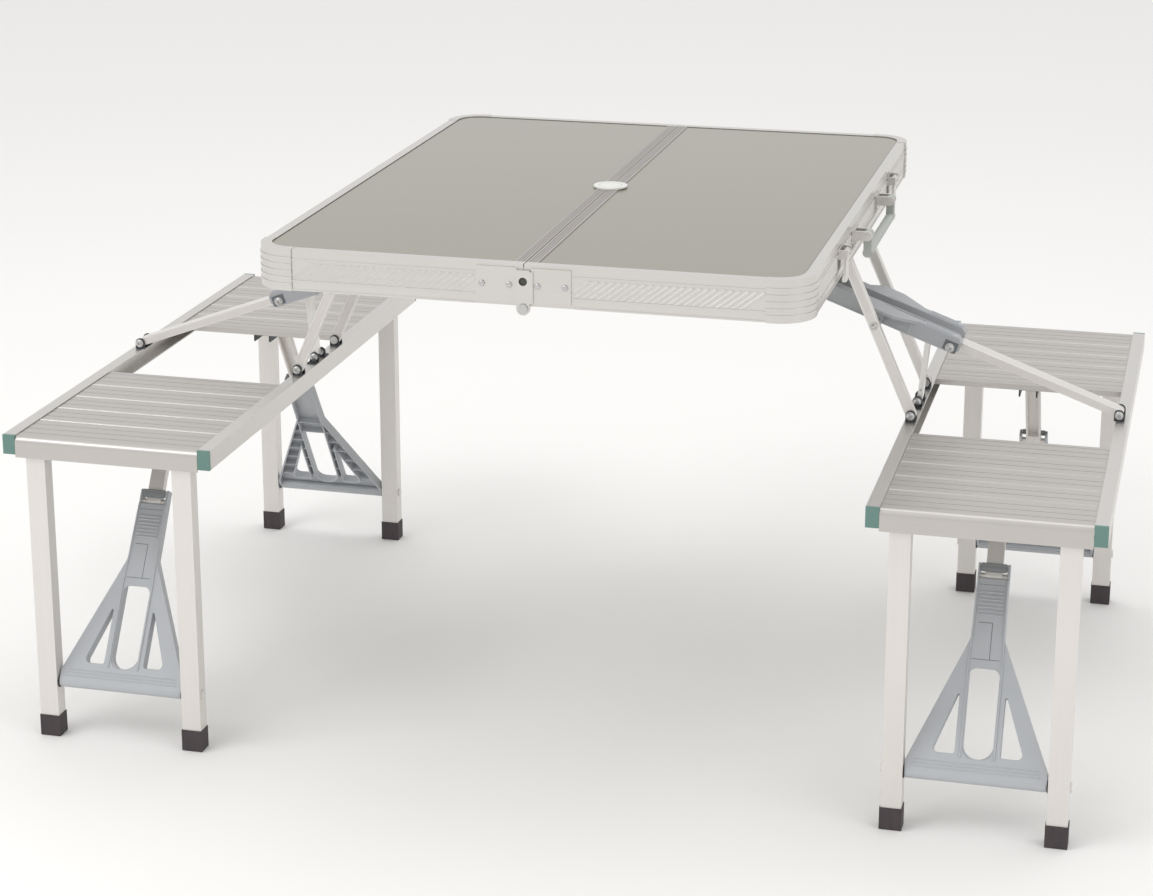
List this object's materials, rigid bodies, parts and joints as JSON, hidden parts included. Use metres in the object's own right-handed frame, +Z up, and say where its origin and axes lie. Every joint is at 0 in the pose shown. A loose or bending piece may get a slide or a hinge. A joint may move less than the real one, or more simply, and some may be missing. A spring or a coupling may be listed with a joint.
{
  "type": "folding picnic table with attached seats",
  "caption": "Suitcase picnic table: two hinged half trays carry seat frames on swinging arms, with slatted seats and folding leg pairs.",
  "frame": {"origin": "middle of the floor footprint, on the floor", "axes": "+X across the fold towards the handle side, +Y along the fold towards the back, +Z up"},
  "size_m": [1.36, 0.863, 0.672],
  "materials": {
    "frame_silver": "satin anodised",
    "slat_satin": "brushed satin",
    "board_laminate": "glossy laminate",
    "steel_dark": "dark grey zinc",
    "bolt_zinc": "bright zinc",
    "yoke_plastic": "moulded grey",
    "cap_plastic": "moulded sage grey",
    "foot_rubber": "matt",
    "plug_plastic": "moulded pale grey"
  },
  "bodies": {
    "left_half": {"left_rim": "frame_silver", "left_corners": "frame_silver", "left_seam_profile": "frame_silver", "left_board": "board_laminate", "left_hinge_plates": "frame_silver", "left_arm_mounts": "steel_dark", "hinge_pins": "bolt_zinc", "latch_keepers": "steel_dark"},
    "right_half": {"right_rim": "frame_silver", "right_corners": "frame_silver", "right_seam_profile": "frame_silver", "right_board": "board_laminate", "right_hinge_plates": "frame_silver", "right_arm_mounts": "steel_dark", "handle_latch_mounts": "steel_dark"},
    "handle": {"handle_grip": "cap_plastic"},
    "latches": {"latch_levers": "frame_silver"},
    "parasol_plug": {"umbrella_plug": "plug_plastic"},
    "left_arm_pair": {"left_arms": "frame_silver", "left_yoke_pins": "bolt_zinc"},
    "left_seat_frame": {"left_rails": "frame_silver", "left_slats": "slat_satin", "left_seat_edges": "frame_silver", "left_end_caps": "cap_plastic", "left_brackets": "steel_dark", "left_bracket_bolts": "bolt_zinc", "left_leg_axles": "bolt_zinc"},
    "left_yoke_lever": {"left_yoke": "yoke_plastic", "left_knee_bolts": "bolt_zinc"},
    "left_brace_strut": {"left_strut": "frame_silver"},
    "left_knee_prop": {"left_prop": "frame_silver"},
    "left_front_leg_pair": {"left_front_legs": "frame_silver", "left_front_feet": "foot_rubber"},
    "left_front_stay_link": {"left_front_stay": "yoke_plastic"},
    "left_front_stay_bar": {"left_front_stay_strut": "frame_silver"},
    "left_back_leg_pair": {"left_back_legs": "frame_silver", "left_back_feet": "foot_rubber"},
    "left_back_stay_link": {"left_back_stay": "yoke_plastic"},
    "left_back_stay_bar": {"left_back_stay_strut": "frame_silver"},
    "right_arm_pair": {"right_arms": "frame_silver", "right_yoke_pins": "bolt_zinc"},
    "right_seat_frame": {"right_rails": "frame_silver", "right_slats": "slat_satin", "right_seat_edges": "frame_silver", "right_end_caps": "cap_plastic", "right_brackets": "steel_dark", "right_bracket_bolts": "bolt_zinc", "right_leg_axles": "bolt_zinc"},
    "right_yoke_lever": {"right_yoke": "yoke_plastic", "right_knee_bolts": "bolt_zinc"},
    "right_brace_strut": {"right_strut": "frame_silver"},
    "right_knee_prop": {"right_prop": "frame_silver"},
    "right_front_leg_pair": {"right_front_legs": "frame_silver", "right_front_feet": "foot_rubber"},
    "right_front_stay_link": {"right_front_stay": "yoke_plastic"},
    "right_front_stay_bar": {"right_front_stay_strut": "frame_silver"},
    "right_back_leg_pair": {"right_back_legs": "frame_silver", "right_back_feet": "foot_rubber"},
    "right_back_stay_link": {"right_back_stay": "yoke_plastic"},
    "right_back_stay_bar": {"right_back_stay_strut": "frame_silver"}
  },
  "joints": [
    {"name": "table_fold", "type": "hinge", "parent": "left_half", "child": "right_half", "pos_m": [0, 0, 0.6175], "axis": [0, 1, 0], "range_deg": [0, 58]},
    {"name": "handle_swing", "type": "hinge", "parent": "right_half", "child": "handle", "pos_m": [0.354, 0, 0.65], "axis": [0, -1, 0], "range_deg": [0, 90]},
    {"name": "latch_swing", "type": "hinge", "parent": "right_half", "child": "latches", "pos_m": [0.343, 0, 0.654], "axis": [0, -1, 0], "range_deg": [0, 95]},
    {"name": "plug_lift", "type": "slide", "parent": "left_half", "child": "parasol_plug", "axis": [0, 0, 1], "range_m": [0, 0.03]},
    {"name": "left_stow", "type": "hinge", "parent": "left_half", "child": "left_arm_pair", "pos_m": [-0.304, 0, 0.657], "axis": [0, -1, 0], "range_deg": [0, 113.92]},
    {"name": "left_frame_level", "type": "hinge", "parent": "left_arm_pair", "child": "left_seat_frame", "pos_m": [-0.412, 0, 0.4135], "axis": [0, -1, 0], "range_deg": [-113.93, 0]},
    {"name": "left_yoke_turn", "type": "hinge", "parent": "left_arm_pair", "child": "left_yoke_lever", "pos_m": [-0.36173, 0, 0.52685], "axis": [0, -1, 0], "range_deg": [0, 45.78]},
    {"name": "left_strut_turn", "type": "hinge", "parent": "left_seat_frame", "child": "left_brace_strut", "pos_m": [-0.668, 0, 0.4135], "axis": [0, -1, 0], "range_deg": [-20.32, 0]},
    {"name": "left_prop_turn", "type": "hinge", "parent": "left_brace_strut", "child": "left_knee_prop", "pos_m": [-0.42261, 0, 0.50325], "axis": [0, -1, 0], "range_deg": [-75.18, 0]},
    {"name": "left_front_leg_fold", "type": "hinge", "parent": "left_seat_frame", "child": "left_front_leg_pair", "pos_m": [-0.542, -0.4, 0.3855], "axis": [1, 0, 0], "range_deg": [0, 90]},
    {"name": "left_front_bar_turn", "type": "hinge", "parent": "left_seat_frame", "child": "left_front_stay_bar", "pos_m": [-0.542, -0.205, 0.3855], "axis": [1, 0, 0], "range_deg": [-57.88, 0]},
    {"name": "left_front_stay_turn", "type": "hinge", "parent": "left_front_stay_bar", "child": "left_front_stay_link", "pos_m": [-0.542, -0.27179, 0.27915], "axis": [1, 0, 0], "range_deg": [0, 180.01]},
    {"name": "left_back_leg_fold", "type": "hinge", "parent": "left_seat_frame", "child": "left_back_leg_pair", "pos_m": [-0.542, 0.4, 0.3855], "axis": [-1, 0, 0], "range_deg": [0, 90]},
    {"name": "left_back_bar_turn", "type": "hinge", "parent": "left_seat_frame", "child": "left_back_stay_bar", "pos_m": [-0.542, 0.205, 0.3855], "axis": [-1, 0, 0], "range_deg": [-57.88, 0]},
    {"name": "left_back_stay_turn", "type": "hinge", "parent": "left_back_stay_bar", "child": "left_back_stay_link", "pos_m": [-0.542, 0.27179, 0.27915], "axis": [-1, 0, 0], "range_deg": [0, 180.01]},
    {"name": "right_stow", "type": "hinge", "parent": "right_half", "child": "right_arm_pair", "pos_m": [0.304, 0, 0.657], "axis": [0, 1, 0], "range_deg": [0, 113.92]},
    {"name": "right_frame_level", "type": "hinge", "parent": "right_arm_pair", "child": "right_seat_frame", "pos_m": [0.412, 0, 0.4135], "axis": [0, 1, 0], "range_deg": [-113.93, 0]},
    {"name": "right_yoke_turn", "type": "hinge", "parent": "right_arm_pair", "child": "right_yoke_lever", "pos_m": [0.36173, 0, 0.52685], "axis": [0, 1, 0], "range_deg": [0, 45.78]},
    {"name": "right_strut_turn", "type": "hinge", "parent": "right_seat_frame", "child": "right_brace_strut", "pos_m": [0.668, 0, 0.4135], "axis": [0, 1, 0], "range_deg": [-20.32, 0]},
    {"name": "right_prop_turn", "type": "hinge", "parent": "right_brace_strut", "child": "right_knee_prop", "pos_m": [0.42261, 0, 0.50325], "axis": [0, 1, 0], "range_deg": [-75.18, 0]},
    {"name": "right_front_leg_fold", "type": "hinge", "parent": "right_seat_frame", "child": "right_front_leg_pair", "pos_m": [0.542, -0.4, 0.3855], "axis": [1, 0, 0], "range_deg": [0, 90]},
    {"name": "right_front_bar_turn", "type": "hinge", "parent": "right_seat_frame", "child": "right_front_stay_bar", "pos_m": [0.542, -0.205, 0.3855], "axis": [1, 0, 0], "range_deg": [-57.88, 0]},
    {"name": "right_front_stay_turn", "type": "hinge", "parent": "right_front_stay_bar", "child": "right_front_stay_link", "pos_m": [0.542, -0.27179, 0.27915], "axis": [1, 0, 0], "range_deg": [0, 180.01]},
    {"name": "right_back_leg_fold", "type": "hinge", "parent": "right_seat_frame", "child": "right_back_leg_pair", "pos_m": [0.542, 0.4, 0.3855], "axis": [-1, 0, 0], "range_deg": [0, 90]},
    {"name": "right_back_bar_turn", "type": "hinge", "parent": "right_seat_frame", "child": "right_back_stay_bar", "pos_m": [0.542, 0.205, 0.3855], "axis": [-1, 0, 0], "range_deg": [-57.88, 0]},
    {"name": "right_back_stay_turn", "type": "hinge", "parent": "right_back_stay_bar", "child": "right_back_stay_link", "pos_m": [0.542, 0.27179, 0.27915], "axis": [-1, 0, 0], "range_deg": [0, 180.01]}
  ],
  "couplings": [
    {"joint": "left_frame_level", "follows": "left_stow", "ratio": -1},
    {"joint": "left_yoke_turn", "follows": "left_stow", "ratio": 0.40179},
    {"joint": "left_strut_turn", "follows": "left_stow", "ratio": -0.17828},
    {"joint": "left_prop_turn", "follows": "left_stow", "ratio": -0.65985},
    {"joint": "left_front_bar_turn", "follows": "left_front_leg_fold", "ratio": -0.643},
    {"joint": "left_front_stay_turn", "follows": "left_front_leg_fold", "ratio": 2},
    {"joint": "left_back_bar_turn", "follows": "left_back_leg_fold", "ratio": -0.643},
    {"joint": "left_back_stay_turn", "follows": "left_back_leg_fold", "ratio": 2},
    {"joint": "right_frame_level", "follows": "right_stow", "ratio": -1},
    {"joint": "right_yoke_turn", "follows": "right_stow", "ratio": 0.40179},
    {"joint": "right_strut_turn", "follows": "right_stow", "ratio": -0.17828},
    {"joint": "right_prop_turn", "follows": "right_stow", "ratio": -0.65985},
    {"joint": "right_front_bar_turn", "follows": "right_front_leg_fold", "ratio": -0.643},
    {"joint": "right_front_stay_turn", "follows": "right_front_leg_fold", "ratio": 2},
    {"joint": "right_back_bar_turn", "follows": "right_back_leg_fold", "ratio": -0.643},
    {"joint": "right_back_stay_turn", "follows": "right_back_leg_fold", "ratio": 2}
  ]
}
